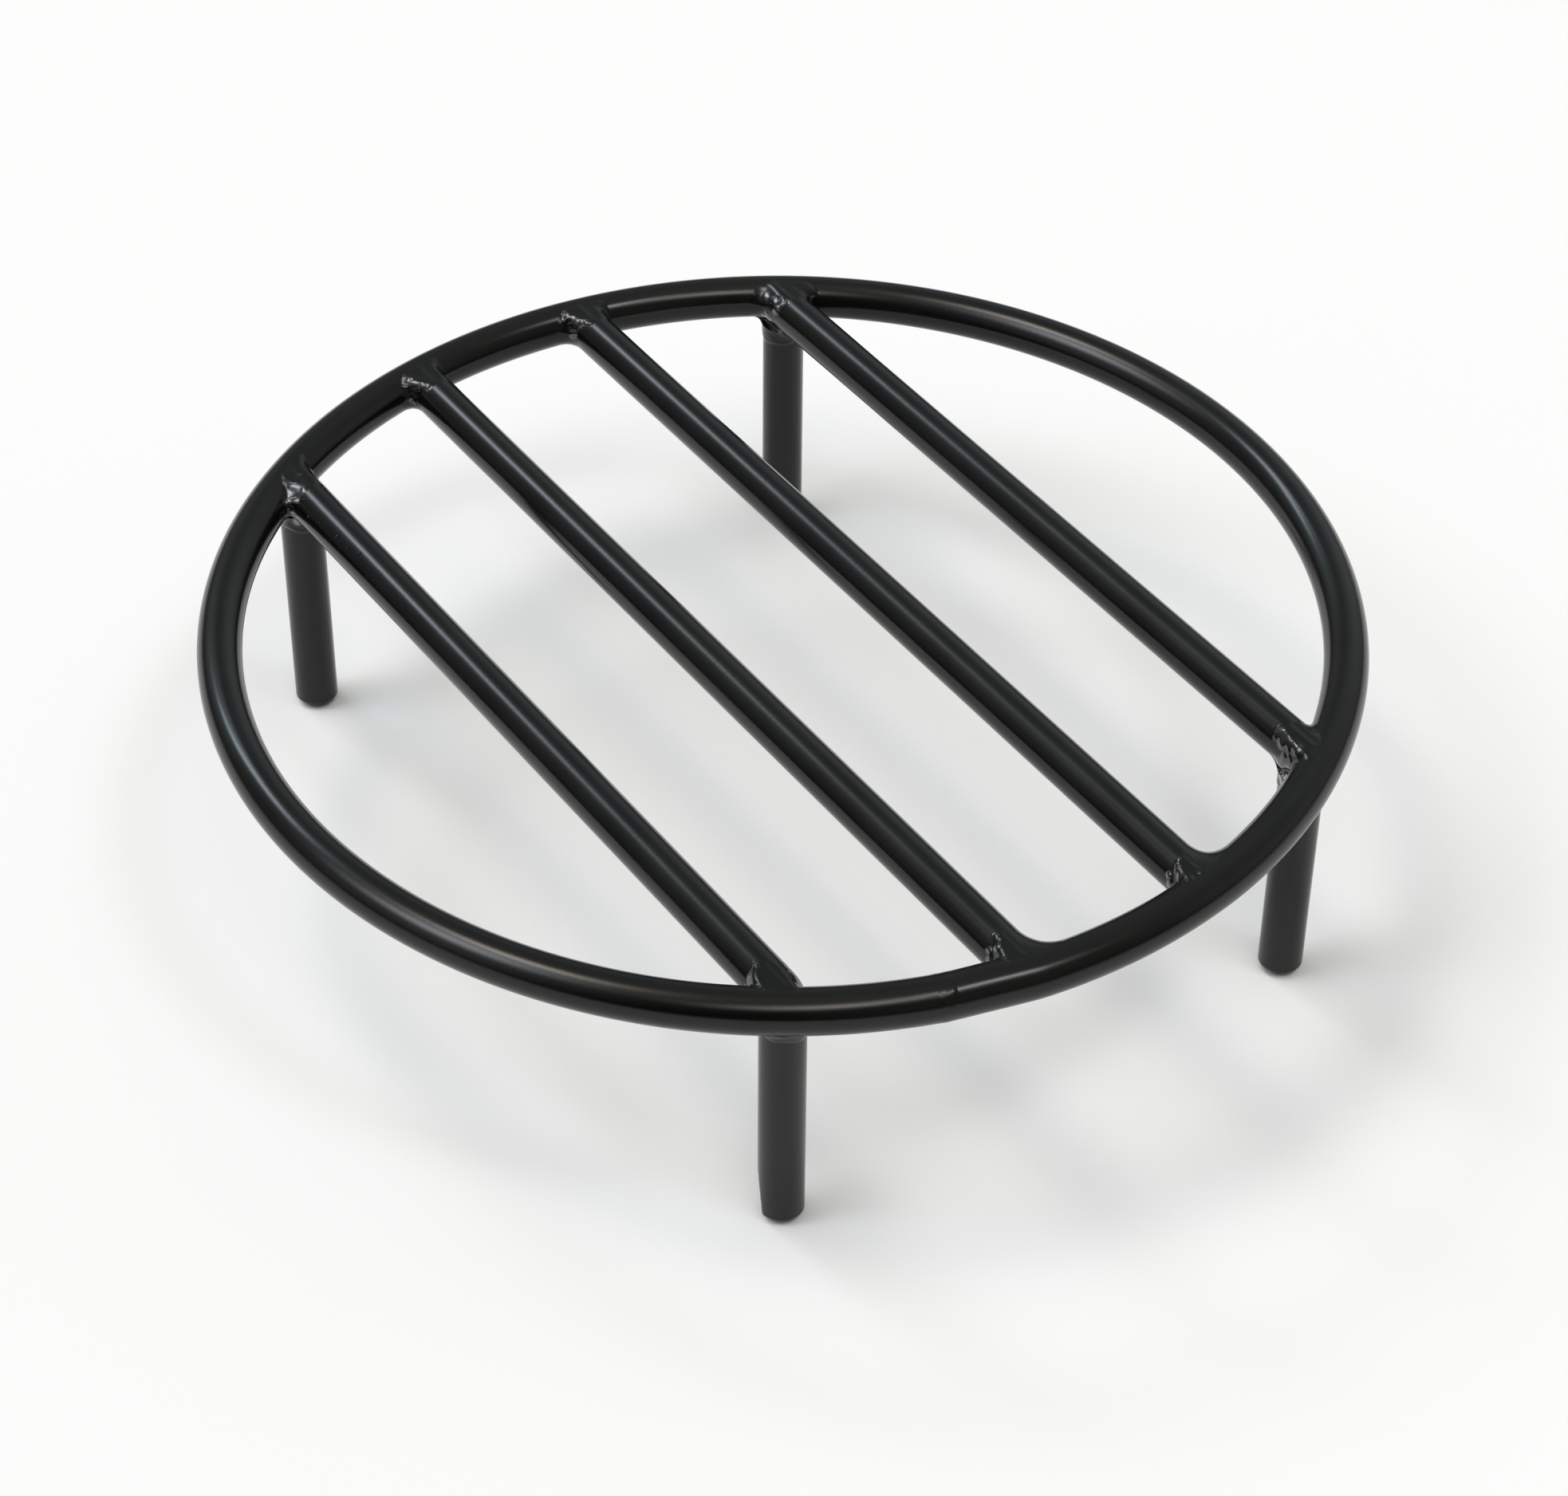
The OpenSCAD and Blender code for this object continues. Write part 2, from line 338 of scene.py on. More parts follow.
# From here on in millimetres: across from the bar's axis, along the bar inwards from the ring's
# centreline, and up from the deck plane. For each weld:
#   end      1 at the rear and -1 at the front
#   left, right, under
#            the reach of the hollow in the corner on that side
#   crumple  how rough its free metal is
#   pad      how far the ground top reaches on the right: from the ring, from the bar and in all
#   face     the outline of the ground top on the left, as points across and along
#   ramps    short ground slopes: a place, the way that each faces and its radius
#   lumps    swellings and pits: a place, a half width and a rise
MM = 1000.0
R_RING, R_ROD, H_DECK = RING_RADIUS * MM, ROD_RADIUS * MM, DECK * MM
BAR_WELDS = {
    "rear_left_outer": dict(
        end=1, left=4.0, right=1.2, under=4.0, crumple=0.10,
        pad=(3.6, 3.4, 5.5),
        face=[(5.0, 12.6), (-1.6, 14.2), (-3.4, 12.6), (-4.9, 10.0), (-5.6, 7.6), (-4.6, 3.0)],
        ramps=[(-3.9, 12.8, 4.9, -0.62, 0.22, 0.75, 3.0)],
        lumps=[(0.0, 7.4, 6.4, 0.7, 0.3), (-2.2, 13.9, 6.0, 0.7, 0.25),
               (-5.6, 14.6, 3.3, 1.3, 0.45), (-6.9, 13.2, 2.4, 1.5, 0.4),
               (-6.4, 14.8, 1.0, 1.1, 0.5)]),
    "rear_left_inner": dict(
        end=1, left=5.5, right=1.6, under=5.5, crumple=0.20,
        pad=(4.0, 3.4, 5.5),
        face=[(5.0, 11.6), (-2.6, 12.8), (-4.2, 11.4), (-7.2, 5.6), (-7.6, 3.5), (-6.3, 0.5)],
        ramps=[],
        lumps=[(-7.0, 5.9, 5.0, 1.7, 0.4), (-5.8, 8.2, 4.6, 1.5, 0.4), (-4.6, 9.8, 4.9, 1.2, 0.3),
               (-3.6, 12.2, 5.6, 1.1, 0.3), (-6.6, 8.8, 1.0, 1.8, 0.2)]),
    "rear_right_inner": dict(
        end=1, left=5.5, right=1.6, under=5.5, crumple=0.20,
        pad=(4.0, 3.6, 6.8),
        face=[(6.5, 10.2), (-2.8, 11.6), (-4.9, 7.6), (-6.6, 4.2), (-6.8, 2.0), (-5.6, -2.0)],
        ramps=[],
        lumps=[(-6.6, 4.0, 4.9, 1.4, 0.4), (-5.2, 5.6, 5.0, 1.2, 0.4),
               (-5.0, 8.0, 4.6, 1.6, 0.45), (-3.4, 9.8, 5.8, 1.0, 0.3),
               (-2.8, 11.6, 6.0, 0.7, 0.2), (-6.4, 7.6, 1.6, 1.6, 0.3)]),
    "rear_right_outer": dict(
        end=1, left=4.0, right=1.6, under=4.0, crumple=0.20,
        pad=(5.4, 4.2, 8.4),
        face=[(8.0, 12.2), (-1.6, 13.2), (-3.2, 10.6), (-3.8, 7.6), (-3.4, 4.8), (-2.2, 1.0)],
        ramps=[],
        lumps=[(-4.9, 5.0, 4.2, 1.5, 0.45), (-4.6, 8.0, 4.4, 1.5, 0.5),
               (-5.5, 10.6, 3.0, 1.5, 0.45), (-3.6, 10.6, 5.2, 1.1, 0.35),
               (-2.2, 12.8, 6.1, 0.8, 0.25), (-0.4, 6.8, 6.4, 0.5, 0.2),
               (-6.2, 6.8, -1.8, 2.0, 0.4)]),
    "front_right_outer": dict(
        end=-1, left=2.5, right=3.5, under=2.0, crumple=0.12,
        pad=(1.0, 2.0, 5.5),
        face=[(5.0, 11.5), (-3.2, 13.4), (-4.6, 10.0), (-5.6, 4.0), (-6.2, 0.0), (-5.0, -5.0)],
        ramps=[],
        lumps=[(-4.4, 12.2, 4.8, 1.9, 0.4), (-5.2, 9.6, 4.0, 2.0, 0.5),
               (-5.0, 6.6, 4.6, 1.7, 0.45), (-4.8, 4.0, 5.0, 1.6, 0.4),
               (-7.0, 6.2, 1.0, 2.2, 0.8), (-7.2, 8.4, -2.8, 2.8, 1.1)]),
    "front_right_inner": dict(
        end=-1, left=1.6, right=9.5, under=1.6, crumple=0.16,
        pad=(0.5, 0.5, 5.5),
        face=[(5.0, 10.6), (-2.0, 9.8), (-4.7, 7.2), (-5.6, 4.8), (-6.0, 2.5), (-5.5, -2.0)],
        ramps=[],
        lumps=[(-2.4, 9.2, 6.1, 0.8, 0.3), (-3.6, 8.2, 5.6, 0.8, 0.35),
               (-4.7, 6.7, 4.9, 0.9, 0.35), (-5.4, 4.9, 4.6, 1.1, 0.4),
               (-6.0, 8.4, 2.8, 1.0, 0.5), (-5.9, 7.2, 0.6, 1.2, 0.4),
               (-2.4, 1.6, 6.4, 1.3, -0.55)]),
    "front_left_inner": dict(
        end=-1, left=1.6, right=9.5, under=1.6, crumple=0.14,
        pad=(0.5, 0.5, 5.5),
        face=[(5.0, 13.0), (-2.2, 12.8), (-4.0, 9.8), (-5.6, 7.5), (-6.2, 4.5), (-5.5, -1.0)],
        ramps=[],
        lumps=[(-2.6, 12.2, 6.0, 0.9, 0.35), (-4.3, 9.0, 5.2, 1.1, 0.5),
               (-5.4, 11.0, 3.4, 1.0, 0.4), (-6.2, 9.6, 1.2, 1.2, 0.4)]),
    "front_left_outer": dict(
        end=-1, left=2.4, right=1.4, under=3.0, crumple=0.12,
        pad=(2.4, 1.4, 5.5),
        face=[(5.0, 12.5), (-2.6, 15.0), (-4.4, 14.4), (-6.0, 12.0), (-7.0, 8.5), (-5.5, 3.0)],
        ramps=[],
        lumps=[(-2.8, 15.2, 6.1, 0.9, 0.3), (-5.6, 13.2, 3.4, 1.0, 0.3),
               (-7.4, 13.4, 1.0, 1.2, 0.4), (3.3, 8.6, 5.8, 0.5, 0.12),
               (4.0, 7.4, 5.4, 0.4, 0.1), (5.4, 1.6, 3.2, 4.0, -1.5)]),
}
WELD_LOW, WELD_HIGH = (-16, -5, -9), (16, 24, 8)    # corners of the space that a weld may fill
GRID = 0.3             # cell of the grid that a weld's skin is first meshed on
STEPS_TO_SKIN = 3      # that bring each point of that mesh on to the true skin
PROBE = 0.01           # the distance over which a slope is measured
LEAST_STEEP = 0.2      # a slope taken as at least this, so that no point is thrown far
NEARLY_SKIN = 0.15     # within this of its free skin, the metal is shaded as that skin
TINY = 1e-9
TUCK = 0.04            # how far a weld's hidden edges lie under the skin of its rods
WALL = 0.6             # thickness of a weld's hidden wall inside its rods
BLUNT = 4              # how steeply a weld's edge is cut off where it meets a rod
NO_HOLLOW = 0.02       # the hollow left in a corner where no metal was laid
FADE = 3.0             # distance from the ring's centreline over which a weld runs out
SINK = 0.3             # how far the bar's skin sinks from the weld past that centreline
LEFT_FROM, LEFT_TO = -2.0, 2.5       # leftwards, where a weld's right side becomes its left
UNDER_FROM, UNDER_TO = 0.5, 4.5      # downwards, where its side becomes its underside
HOLLOW_FROM_RING = 3.5               # inside the ring's centreline, where a hollow is whole
PAD_SINK = 0.02        # how far a ground top lies under the tops of the rods
PAD_DEPTH = 3.4        # height above the deck plane down to which a pad reaches
PAD_OUT, PAD_UP, PAD_DOWN = 0.9, 0.3, 0.8      # how steeply its flank and underside lean
PAD_CROTCH, PAD_END, PAD_EDGE, PAD_RIM, PAD_UNDER = 4.0, 3.0, 1.6, 1.4, 1.2    # its roundings
RUN_PROUD, LEFT_PROUD = 0.04, 0.2    # how far free metal may stand above the rods, and more
                                     # so on the left


def soft_min(a, b, reach):
    """The nearer of two skins, with a hollow of that reach in the corner between them."""
    near = np.maximum(reach - np.abs(a - b), 0.0) / reach
    return np.minimum(a, b) - near * near * reach / 4


def soft_max(a, b, reach):
    """The farther of two skins, with the edge between them rounded to that reach."""
    return -soft_min(-a, -b, reach)


def ease(value, low, high):
    """0 below low, 1 above high and smooth between them."""
    t = np.clip((value - low) / (high - low), 0.0, 1.0)
    return t * t * (3 - 2 * t)


def skin_mesh(name, low, high, field, to_world, material):
    """The piece of weld metal inside field's zero, as one closed mesh. field gives the metal's own
    shell, its free skin and how much of it was left as it ran."""
    axes = [np.arange(a, b, GRID) for a, b in zip(low, high)]
    grid = openvdb.FloatGrid(1.0)
    grid.copyFromArray(field(*np.meshgrid(*axes, indexing="ij"))[0].astype(np.float32))
    points, quads = grid.convertToQuads()
    points = points * GRID + np.array(low)

    def slopes(at):
        """What field says of some points, and the slopes there of the shell and the skin."""
        here, ahead = field(*at.T), [field(*(at + step).T) for step in np.eye(3) * PROBE]
        return here, [np.stack([(side[i] - here[i]) / PROBE for side in ahead], 1) for i in (0, 1)]

    def at_least_tiny(arrows):
        return np.maximum(np.linalg.norm(arrows, axis=1), TINY)

    for _ in range(STEPS_TO_SKIN):
        here, (slope, _) = slopes(points)
        steep = np.maximum((slope ** 2).sum(1), LEAST_STEEP)
        move = -slope * (here[0] / steep)[:, None]
        points = points + move * np.minimum(1, 0.5 * GRID / at_least_tiny(move))[:, None]
    here, (slope, skin_slope) = slopes(points)
    facing = np.where((here[1] > -NEARLY_SKIN)[:, None], skin_slope, slope)
    facing = facing / at_least_tiny(facing)[:, None]
    placed = to_world(points) / MM
    normals = to_world(points + PROBE * facing) / MM - placed
    normals = normals / np.linalg.norm(normals, axis=1)[:, None]
    a, b, c, d = (placed[quads[:, i]] for i in range(4))
    volume = np.einsum("ij,ij->", a, np.cross(b, c)) + np.einsum("ij,ij->", a, np.cross(c, d))
    if volume < 0:
        quads = quads[:, ::-1]
    mesh = bpy.data.meshes.new(name)
    mesh.from_pydata(placed.tolist(), [], quads.tolist())
    mesh.shade_smooth()
    mesh.normals_split_custom_set_from_vertices(normals.tolist())
    mesh.materials.append(material)
    bead = mesh.attributes.new("bead", "FLOAT", "POINT")
    bead.data.foreach_set("value", here[2].astype(np.float32))
    piece = bpy.data.objects.new(name, mesh)
    bpy.context.scene.collection.objects.link(piece)
    return piece


def crumple(x, y, z):
    """Soft uneven swellings two to three millimetres apart, between -1 and 1."""
    a = 1.3 * x + 1.1 * np.sin(0.9 * y + 2.1) + 0.6 * np.sin(1.5 * z)
    b = 1.5 * y + 1.2 * np.sin(0.8 * z + 0.4) + 0.6 * np.sin(1.7 * x + 1.0)
    c = 1.4 * z + 1.1 * np.sin(1.0 * x + 3.0) + 0.7 * np.sin(1.4 * y + 0.7)
    return (np.sin(a + 0.7 * b) + np.sin(1.2 * b - 0.6 * c) + np.sin(1.1 * c + 0.5 * a)) / 3


def with_lumps(body, lumps, rough, x, t, z):
    """body's skin with low swellings and pits on it, and how much of each point was left as it
    ran. Only the swellings were: a pit is as smooth as the metal around it."""
    swell, bead = 0.0, 0.0
    for px, pt, pz, half_width, rise in lumps:
        near = np.exp(-((x - px) ** 2 + (t - pt) ** 2 + (z - pz) ** 2) / half_width ** 2)
        swell = swell + rise * near
        if rise > 0:
            bead = np.maximum(bead, ease(near, 0.12, 0.45) * min(1.0, half_width))
    bead = bead + np.zeros_like(x)
    return body(x, t, z) - swell - rough * crumple(x, t, z) * bead, bead


def weld_shell(rods, skin, tuck=TUCK):
    """Weld metal between its skin and the rods, with its hidden edges tucked just under them and
    its edge cut off blunt where skin and rods run together."""
    blunt_edge = BLUNT * (0.2 * TUCK - (rods - skin))
    return np.maximum(np.maximum(skin + tuck, -(rods + WALL)), blunt_edge)


def ring_axis_at(x, y):
    """How far a point in the deck plane lies inside the ring's centreline, straight run and all."""
    off_straight = np.arctan2(y, x) - STRAIGHT
    chord = R_RING * math.cos(STRAIGHT_HALF) / np.maximum(np.cos(off_straight), LEAST_COSINE)
    blend = STRAIGHT_BLEND * MM
    near = np.maximum(blend - np.abs(chord - R_RING), 0.0) / blend
    return np.minimum(chord, R_RING) - near ** 3 * blend / 6 - np.hypot(x, y)


for name, spec in BAR_WELDS.items():
    across = BAR_PLACES[name.split("_", 1)[1]] * MM
    reach = math.sqrt(R_RING ** 2 - across ** 2)
    sawn = reach - math.sqrt((R_RING - R_ROD) ** 2 - (abs(across) + R_ROD) ** 2) + ROOT_GAP * MM
    end = spec["end"]

    def axes_at(x, t):
        """How far a point lies from the bar's axis, which sinks out of the weld past the ring's
        centreline, and how far inside that centreline it lies."""
        inside = ring_axis_at(x + across, end * (reach - t))
        return np.hypot(x, np.minimum(t, 0.0)) + SINK * ease(-inside, 0.0, FADE), inside

    def ground_face(x, t, z, inside):
        """The pad of weld metal whose top was ground flat, level with the bar and the ring."""
        right_of_ring, right_of_bar, right_end = spec["pad"]
        corner = soft_min(x - right_of_bar, inside - right_of_ring, PAD_CROTCH)
        side = soft_max(corner, x - right_end, PAD_END)
        for (x0, t0), (x1, t1) in zip(spec["face"], spec["face"][1:]):
            long = math.hypot(x1 - x0, t1 - t0)
            edge = ((t1 - t0) * (x - x0) - (x1 - x0) * (t - t0)) / long
            side = soft_max(side, edge, PAD_EDGE)
        flank = PAD_OUT * side + PAD_UP * (z - R_ROD)
        pad = soft_max(flank, z - (R_ROD - PAD_SINK), PAD_RIM)
        return np.maximum(soft_max(pad, PAD_DOWN * (PAD_DEPTH - z), PAD_UNDER), -inside)

    def filled(x, t, z):
        """The bar and the ring with their corners filled, the ramps and the ground pad."""
        bar_axis, inside = axes_at(x, t)
        hollow = spec["right"] + (spec["left"] - spec["right"]) * ease(-x, LEFT_FROM, LEFT_TO)
        under = ease(-z, UNDER_FROM, UNDER_TO)
        hollow = hollow + (np.maximum(spec["under"], hollow) - hollow) * under
        hollow = NO_HOLLOW + hollow * ease(inside, 0.0, HOLLOW_FROM_RING)
        nearest = soft_min(bar_axis, np.abs(inside), hollow)
        body = np.hypot(np.maximum(nearest, 0.0), z) - R_ROD
        for px, pt, pz, nx, nt, nz, radius in spec["ramps"]:
            slope = nx * (x - px) + nt * (t - pt) + nz * (z - pz)
            off = np.sqrt((x - px) ** 2 + (t - pt) ** 2 + (z - pz) ** 2) - radius
            body = soft_min(body, soft_max(slope, off, 1.0), 1.0)
        edge = NO_HOLLOW + (1 - NO_HOLLOW) * ease(inside, 0.0, FADE)
        return soft_min(body, ground_face(x, t, z, inside), edge)

    def field(x, t, z):
        bar_axis, inside = axes_at(x, t)
        bar, ring_skin = np.hypot(bar_axis, z) - R_ROD, np.hypot(inside, z) - R_ROD
        skin, bead = with_lumps(filled, spec["lumps"], spec["crumple"], x, t, z)
        for px, pt, pz, _, _, _, radius in spec["ramps"]:
            off = radius - np.sqrt((x - px) ** 2 + (t - pt) ** 2 + (z - pz) ** 2)
            bead = np.maximum(bead, ease(off, -0.5, 0.5))
        top = R_ROD + RUN_PROUD + LEFT_PROUD * ease(-x, -0.5, 2.0)
        skin = np.maximum(skin, z - top)
        rods = np.minimum(np.maximum(bar, sawn - t), ring_skin)
        # Past the bar's sawn end there is no skin of the bar to tuck an edge under
        past_cut = (1 - ease(t, sawn - 2.5, sawn + 0.5)) * ease(ring_skin - bar, 0.0, 0.6)
        return weld_shell(rods, skin, TUCK * (1 - past_cut)), skin, bead

    def to_world(points):
        x, t, z = points.T
        return np.stack([x + across, end * (reach - t), z + H_DECK], 1)

    weld = skin_mesh("bead_" + name, WELD_LOW, WELD_HIGH, field, to_world, weld_coat)
    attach(weld, "root")
    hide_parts("weld_" + name)

# ------------------------------------------------------------------------------------------------
# Spatter: small drops of weld metal that flew on to the left outer bar near its rear end and
# stuck, most of them on its upper left flank. The coat went over them.
# ------------------------------------------------------------------------------------------------
nodes, size = shape_tree("Spatter", {
    "Axis start": "Vector", "Axis end": "Vector", "Rod radius": "Float", "Drops": "Int",
    "Side": "Float", "Spread": "Float", "Smallest": "Float", "Largest": "Float", "Seed": "Int"})
ends = {"Start": size.out("Axis start"), "End": size.out("Axis end")}
line = nodes.add("GeometryNodeCurvePrimitiveLine", None, ends)
spots = nodes.add("GeometryNodeResampleCurve", None, {"Curve": line, "Count": size.out("Drops")})
spots = nodes.add("GeometryNodeCurveToPoints", {"mode": "EVALUATED"}, {"Curve": spots})


def chance(low, high, offset):
    """A random number for each drop."""
    inputs = {2: low, 3: high, "Seed": size.out("Seed") + offset}
    return nodes.add("FunctionNodeRandomValue", {"data_type": "FLOAT"}, inputs, 1)


angle = size.out("Side") + size.out("Spread") * chance(-1.0, 1.0, 1)
out = nodes.joined(
    X=angle.math("COSINE", angle) * size.out("Rod radius"), Y=chance(-0.004, 0.004, 2),
    Z=angle.math("SINE", angle) * size.out("Rod radius"))
spots = nodes.add("GeometryNodeSetPosition", None, {0: spots, "Offset": out})
drop = nodes.add("GeometryNodeMeshIcoSphere", None, {"Radius": 1.0, "Subdivisions": 2})
drop = nodes.add("GeometryNodeSetShadeSmooth", None, {0: drop, "Shade Smooth": True})
drop_radius = chance(size.out("Smallest"), size.out("Largest"), 3)
inputs = {"Points": spots, "Instance": drop, "Scale": drop_radius}
drops = nodes.add("GeometryNodeInstanceOnPoints", None, inputs)
spatter = grow("weld_spatter", close_tree(nodes, drops, coat), {
    "Axis start": (-OUTER, 0.115, DECK), "Axis end": (-OUTER, 0.088, DECK),
    "Rod radius": ROD_RADIUS, "Drops": 8, "Side": math.radians(128), "Spread": math.radians(24),
    "Smallest": 0.00028, "Largest": 0.00060, "Seed": 4})
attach(spatter, "root")

# ------------------------------------------------------------------------------------------------
# The welds at the tops of the legs: a rippled collar run once round each leg, just under the ring
# and the bar that the leg carries.
# ------------------------------------------------------------------------------------------------
LEG_LUMPS = {
    "front_right": [(-7.4, 0.5, 75.2, 2.4, 1.0), (-7.2, 1.5, 72.4, 2.0, 0.8),
                    (-6.8, 0.6, 69.8, 1.5, 0.5)],
    "rear_left": [(-4.5, -6.0, 73.2, 1.2, 0.25), (-6.8, -1.0, 74.4, 1.6, 0.3)],
}
COLLAR_LOW, COLLAR_HIGH = (-13, -14, 65.5), (13, 14, 81)    # corners of the space it may fill
COLLAR_FOOT = 69.0         # height at which a collar starts on its leg
COLLAR_THICK = 0.36
COLLAR_CRUMPLE = 0.28
COLLAR_HOLLOW = 3.6        # reach of the hollow between the leg and what it carries
LEG_INSET = 6.35           # how far a leg's axis lies inside the ring's centreline

for name, (leg_x, leg_y, _) in LEG_PLACES.items():
    across, end = leg_x * MM, math.copysign(1, leg_y)
    inwards = abs(leg_y) * MM

    def rods_at(x, y, z):
        """The leg's skin, and that of the bar and the ring on it."""
        past_ring = np.maximum(y - LEG_INSET, 0.0)
        bar = np.sqrt(x * x + (z - H_DECK) ** 2 + past_ring ** 2) - R_ROD
        ring_axis = ring_axis_at(x + across, end * (y + inwards))
        ring_skin = np.hypot(ring_axis, z - H_DECK) - R_ROD
        return np.hypot(x, y) - R_ROD, np.minimum(bar, ring_skin)

    def collar(x, y, z):
        """The collar's skin. Its foot wanders up and down, and its face is rippled."""
        leg_skin, deck = rods_at(x, y, z)
        angle = np.arctan2(y, x)
        low = z - COLLAR_FOOT - 0.6 * np.sin(2 * angle + across) - 0.3 * np.sin(5 * angle + 2 * end)
        wave = 0.03 * np.sin(2.6 * low + 1.5 * np.sin(angle)) + 0.05 * np.sin(7 * angle + 0.7 * low)
        thick = (COLLAR_THICK + wave * (1 - ease(low, 2.0, 3.5))) * ease(low, -0.4, 1.6)
        leg_top = np.maximum(leg_skin - thick, z - (LEG_LENGTH * MM + 1.0))
        return soft_min(leg_top, deck, COLLAR_HOLLOW)

    def field(x, y, z):
        leg_skin, deck = rods_at(x, y, z)
        skin, bead = with_lumps(collar, LEG_LUMPS.get(name, []), COLLAR_CRUMPLE, x, y, z)
        rods = np.minimum(np.maximum(leg_skin, z - LEG_LENGTH * MM), deck)
        return weld_shell(rods, skin), skin, bead

    def to_world(points):
        x, y, z = points.T
        return np.stack([x + across, end * (y + inwards), z], 1)

    weld = skin_mesh("leg_bead_" + name, COLLAR_LOW, COLLAR_HIGH, field, to_world, weld_coat)
    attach(weld, "root")
    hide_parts("leg_weld_" + name)

# ------------------------------------------------------------------------------------------------
# The weld that closes the ring: a narrow band of weld metal between its two ends, dressed almost
# flush after it was laid. One small lump was left on top, where the metal ran over.
# ------------------------------------------------------------------------------------------------
SEAM_LOW, SEAM_HIGH = (-4, -9, -9), (4, 9, 9)    # corners of the space that it may fill
SEAM_HALF = 3.2            # half the width that the dressed band covers
SEAM_DEPTH = 1.2           # how far it reaches down into the bar
SEAM_PROUD = 0.05          # how far the dressed band stands above the bar
LUMP_X, LUMP_OUT, LUMP_UP, LUMP_SPREAD, LUMP_PROUD = 1.3, 3.6, 5.2, 2.6, 0.12


def seam_place(points):
    """Where in the grate a point of the seam lies, apart from the deck's height."""
    x, radius = points[:, 0], points[:, 1] + R_RING
    along = np.array([-math.sin(SEAM), math.cos(SEAM)])
    outwards = np.array([math.cos(SEAM), math.sin(SEAM)])
    flat = x[:, None] * along + radius[:, None] * outwards
    return np.column_stack([flat, points[:, 2]])


def seam_field(x, t, z):
    """x along the ring from the seam's middle, t outwards from the ring's centreline."""
    place = seam_place(np.stack([x.ravel(), t.ravel(), z.ravel()], 1))
    ring_skin = np.hypot(ring_axis_at(place[:, 0], place[:, 1]).reshape(x.shape), z) - R_ROD
    off_lump = (x - LUMP_X) ** 2 + (t - LUMP_OUT) ** 2 + (z - LUMP_UP) ** 2
    lump = LUMP_PROUD * np.exp(-off_lump / LUMP_SPREAD)
    wave = 0.02 * np.sin(x * 1.6 + z) + 0.02 * np.sin(z * 1.7 + 1.0)
    crown = (SEAM_PROUD + wave + lump) * ease(-np.abs(x), -SEAM_HALF, -0.8)
    crown = crown - TUCK * ease(np.abs(x), 2.0, 3.0)
    band = np.maximum(ring_skin - crown, np.abs(x) - SEAM_HALF)
    return np.maximum(band, -(ring_skin + SEAM_DEPTH)), ring_skin - crown, np.zeros_like(x)


def seam_to_world(points):
    return seam_place(points) + [0, 0, H_DECK]


seam = skin_mesh("seam_bead", SEAM_LOW, SEAM_HIGH, seam_field, seam_to_world, weld_coat)
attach(seam, "root")
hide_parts("ring_seam_weld")

# ------------------------------------------------------------------------------------------------
# The floor that the grate stands on: a pale matt sheet, with painted shade that greys it far from
# the grate, where the room's light falls off. With it, the soft light of the room and the camera.
# ------------------------------------------------------------------------------------------------
FLOOR_HALF = 15.0
PALE, PALER = (0.85, 0.85, 0.85, 1), (0.87, 0.87, 0.87, 1)
# painted shade: the grey that the floor turns to far from the grate, where the light falls off
FAR_PAINTED_SHADE = (0.50, 0.50, 0.50, 1)
SHADE_FROM, SHADE_TO = 0.5, 1.5        # metres from the grate over which the floor turns grey

floor_material = bpy.data.materials.new("pale_floor")
floor_material.use_nodes = True
nodes = Nodes(floor_material.node_tree)
place = nodes.add("ShaderNodeTexCoord", output="Object")
pale = nodes.blend(nodes.noise(place, scale=3.0), PALE, PALER)
# painted shade: the floor greys with distance from the grate, standing in for the light falling off
far_shade = nodes.ramp(nodes.vector("LENGTH", place, output=1), SHADE_FROM, SHADE_TO)
sheet = nodes.blend(far_shade, pale, FAR_PAINTED_SHADE)
inputs = {"Base Color": sheet, "Roughness": 0.8, "Specular IOR Level": 0.0}
shader = nodes.add("ShaderNodeBsdfPrincipled", None, inputs)
nodes.add("ShaderNodeOutputMaterial", None, {"Surface": shader})
floor_mesh = bpy.data.meshes.new("pale_floor")
corners = [(x, y, 0) for x, y in ((-1, -1), (1, -1), (1, 1), (-1, 1))]
floor_mesh.from_pydata(corners, [], [(0, 1, 2, 3)])
floor_mesh.transform(Matrix.Scale(FLOOR_HALF, 4))
floor_mesh.materials.append(floor_material)
floor = bpy.data.objects.new("pale_floor", floor_mesh)
bpy.context.scene.collection.objects.link(floor)

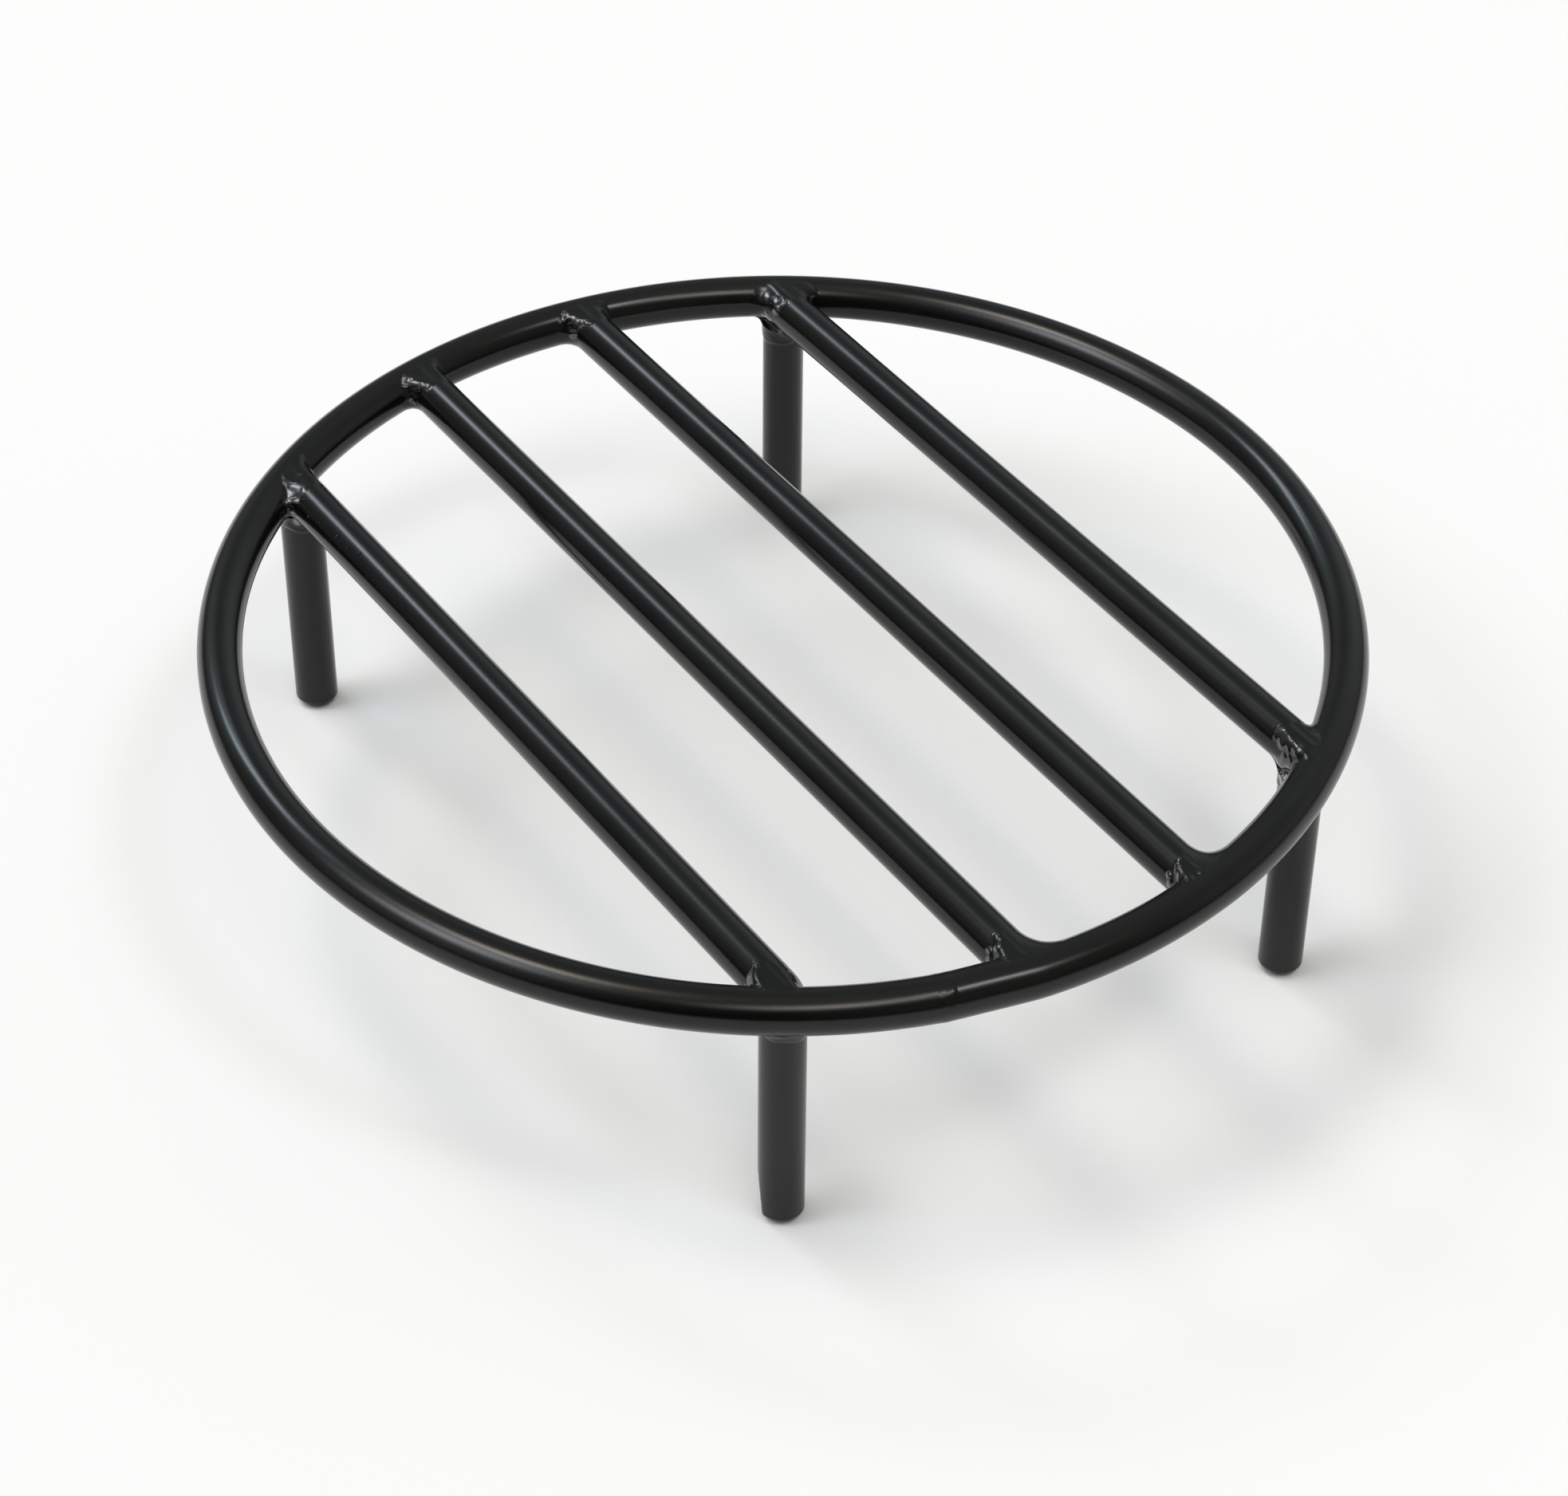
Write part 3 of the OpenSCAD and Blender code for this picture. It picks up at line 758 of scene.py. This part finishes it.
# Each soft light of the room: where it stands, as its direction's x and y over 1 + z, its half
# width each way, its turn in degrees and its colour. The broad ones are the pale walls and ceiling.
SOFT_LIGHTS = [
    ((-0.087, 0.484), (0.069, 0.033), -60, (8.03, 9.51, 9.77)),
    ((-0.115, 0.152), (0.085, 0.061), 59, (10.19, 9.33, 8.26)),
    ((-0.323, 0.131), (0.115, 0.130), -43, (6.95, 7.19, 7.95)),
    ((-0.045, 0.410), (0.079, 0.030), 14, (6.82, 7.33, 7.99)),
    ((-0.080, -0.247), (0.131, 0.082), 0, (5.71, 5.26, 5.10)),
    ((0.100, -0.215), (0.050, 0.055), 0, (9.97, 11.02, 11.49)),
    ((-0.106, 0.523), (0.250, 0.172), -53, (0.59, 0.69, 0.79)),
    ((0.55, 0.33), (0.33, 0.33), 0, (0.56, 0.62, 0.65)),
    ((0.10, 0.75), (0.25, 0.25), 0, (0.29, 0.30, 0.26)),
    ((-0.60, 0.10), (0.30, 0.30), 0, (0.62, 0.63, 0.61)),
    ((0.00, -0.70), (0.35, 0.35), 0, (0.22, 0.24, 0.18)),
    ((0.60, -0.35), (0.35, 0.35), 0, (0.44, 0.46, 0.45)),
    ((0.00, 0.00), (0.30, 0.30), 0, (0.57, 0.55, 0.46)),
    ((0.85, 0.00), (0.30, 0.30), 0, (0.17, 0.16, 0.14)),
    ((-0.50, 0.60), (0.30, 0.30), 0, (0.15, 0.16, 0.12)),
]
LOWEST = -0.5              # the direction's z below which the map of the room is not stretched on
HORIZON = 0.08             # the direction's z over which the light fades in around the horizon

world = bpy.data.worlds.new("soft_studio")
bpy.context.scene.world = world
world.use_nodes = True
nodes = Nodes(world.node_tree)
towards = nodes.add("ShaderNodeTexCoord", output="Generated")
axis = nodes.add("ShaderNodeSeparateXYZ", None, {0: towards})
height = axis.out("Z")
open_up = 1 / (height.math("MAXIMUM", height, LOWEST) + 1)
map_x, map_y = axis.out("X") * open_up, axis.out("Y") * open_up
above = nodes.ramp(height, -HORIZON, HORIZON)
light = None
for (mid_x, mid_y), (wide_x, wide_y), turned, colour in SOFT_LIGHTS:
    cosine, sine = math.cos(math.radians(turned)), math.sin(math.radians(turned))
    from_x, from_y = map_x - mid_x, map_y - mid_y
    along = (from_x * cosine + from_y * sine) / wide_x
    across = (from_y * cosine - from_x * sine) / wide_y
    away = along * along + across * across
    lamp = nodes.scaled(colour, away.math("EXPONENT", -away) * above)
    light = nodes.vector("ADD", light, lamp) if light else lamp
background = nodes.add("ShaderNodeBackground", None, {"Color": light, "Strength": 1.0})
nodes.add("ShaderNodeOutputWorld", None, {0: background})

# The camera: the bearing and the height from which it looks and its tilt, in degrees, how far it
# stands from the deck's middle and how far it is moved to the right and up, in metres, and its lens
TURN, RISE, TILT = -34.3044, 40.9859, 0.5411
AWAY, TO_RIGHT, UPWARDS = 1.16338, 0.00054, -0.03715
LENS, FILM_WIDTH, SIGHT = 94.30, 36.0, 100.0

turn, rise, tilt = (math.radians(angle) for angle in (TURN, RISE, TILT))
level = math.cos(rise)
back = Vector((math.sin(turn) * level, -math.cos(turn) * level, math.sin(rise)))
right = Vector((math.cos(turn), math.sin(turn), 0))
up = back.cross(right)
tilted_right = right * math.cos(tilt) + up * math.sin(tilt)
tilted_up = up * math.cos(tilt) - right * math.sin(tilt)
stand = back * AWAY + right * TO_RIGHT + up * UPWARDS + Vector((0, 0, DECK))
camera_data = bpy.data.cameras.new("camera")
camera_data.sensor_fit = "HORIZONTAL"
camera_data.sensor_width = FILM_WIDTH
camera_data.lens = LENS
camera_data.clip_end = SIGHT
camera = bpy.data.objects.new("camera", camera_data)
facing = Matrix((tilted_right, tilted_up, back)).transposed().to_4x4()
camera.matrix_world = Matrix.Translation(stand) @ facing
bpy.context.scene.collection.objects.link(camera)
bpy.context.scene.camera = camera
bpy.context.scene.view_settings.view_transform = "Standard"
